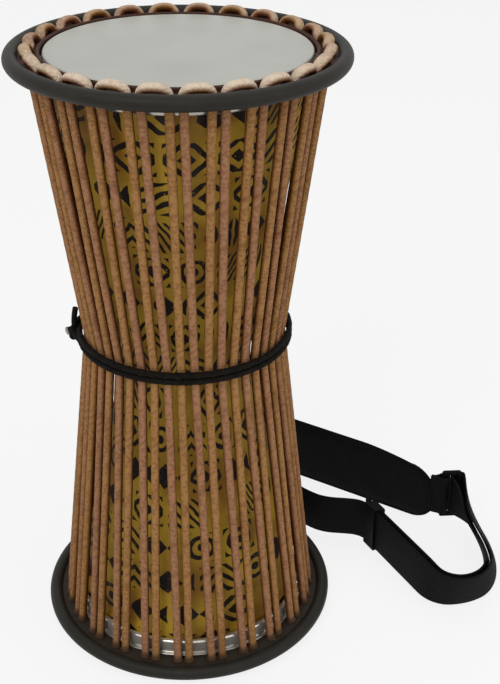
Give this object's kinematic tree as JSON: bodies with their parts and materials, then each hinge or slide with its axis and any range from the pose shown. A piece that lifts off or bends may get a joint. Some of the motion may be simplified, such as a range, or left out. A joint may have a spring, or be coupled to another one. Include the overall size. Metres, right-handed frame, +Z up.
{
  "type": "talking drum",
  "caption": "Hourglass drum with a head at each end, laced rim to rim with tension cord that is squeezed to raise the pitch; a waist cord and a padded carrying strap lie with it.",
  "frame": {"origin": "on the floor, under the drum's axis, where its lower bights stand", "axes": "+Z up along the drum's axis; -Y is the front in the picture; +X is the side where the strap lies"},
  "size_m": [0.3687, 0.3463, 0.46],
  "materials": {
    "shell": "satin printed moulded fibre",
    "head_film": "satin film",
    "hoop_metal": "bright",
    "counterhoop": "dark brown, matte",
    "rim_rubber": "matte black",
    "tension_cord": "braided",
    "waist_cord": "braided black",
    "cord_tip": "heat-sealed end",
    "strap_pad": "matte black",
    "webbing": "woven black",
    "buckle_plastic": "satin black"
  },
  "bodies": {
    "drum": {"shell": "shell", "top_head": "head_film", "bottom_head": "head_film", "top_flesh_hoop": "hoop_metal", "bottom_flesh_hoop": "hoop_metal", "top_counterhoop": "counterhoop", "bottom_counterhoop": "counterhoop", "top_rim_ring": "rim_rubber", "bottom_rim_ring": "rim_rubber", "top_bights": "tension_cord", "bottom_bights": "tension_cord", "front_cords": "tension_cord", "back_cords": "tension_cord", "waist_cord": "waist_cord", "cord_tip": "cord_tip", "strap_pad": "strap_pad", "front_tab": "webbing", "back_tab": "webbing", "back_ring": "buckle_plastic", "lower_webbing": "webbing", "upper_webbing": "webbing", "lower_anchor": "webbing", "upper_anchor": "webbing"},
    "left_upper_bank": {"left_upper_cords": "tension_cord"},
    "left_lower_bank": {"left_lower_cords": "tension_cord"},
    "right_upper_bank": {"right_upper_cords": "tension_cord"},
    "right_lower_bank": {"right_lower_cords": "tension_cord"},
    "front_ring": {"front_ring": "buckle_plastic"},
    "keeper": {"webbing_keeper": "buckle_plastic"}
  },
  "joints": [
    {"name": "squeeze_left_upper", "type": "hinge", "parent": "drum", "child": "left_upper_bank", "pos_m": [-0.086, 0, 0.4501], "axis": [0, -1, 0], "range_deg": [0, 3.5], "stiffness_Nm_per_rad": 10},
    {"name": "squeeze_left_lower", "type": "hinge", "parent": "drum", "child": "left_lower_bank", "pos_m": [-0.086, 0, 0.0099], "axis": [0, 1, 0], "range_deg": [0, 3], "stiffness_Nm_per_rad": 10},
    {"name": "squeeze_right_upper", "type": "hinge", "parent": "drum", "child": "right_upper_bank", "pos_m": [0.086, 0, 0.4501], "axis": [0, 1, 0], "range_deg": [0, 3.5], "stiffness_Nm_per_rad": 10},
    {"name": "squeeze_right_lower", "type": "hinge", "parent": "drum", "child": "right_lower_bank", "pos_m": [0.086, 0, 0.0099], "axis": [0, -1, 0], "range_deg": [0, 3], "stiffness_Nm_per_rad": 10},
    {"name": "ring_pivot", "type": "hinge", "parent": "drum", "child": "front_ring", "pos_m": [0.22418, 0.08637, 0.0304], "axis": [0, 0, 1], "range_deg": [-8, 8]},
    {"name": "keeper_slide", "type": "slide", "parent": "drum", "child": "keeper", "axis": [0.4472, -0.8944, 0], "range_m": [0, 0.045]}
  ],
  "couplings": [
    {"joint": "squeeze_left_lower", "follows": "squeeze_left_upper", "ratio": 0.857},
    {"joint": "squeeze_right_upper", "follows": "squeeze_left_upper", "ratio": 1},
    {"joint": "squeeze_right_lower", "follows": "squeeze_left_upper", "ratio": 0.857}
  ]
}
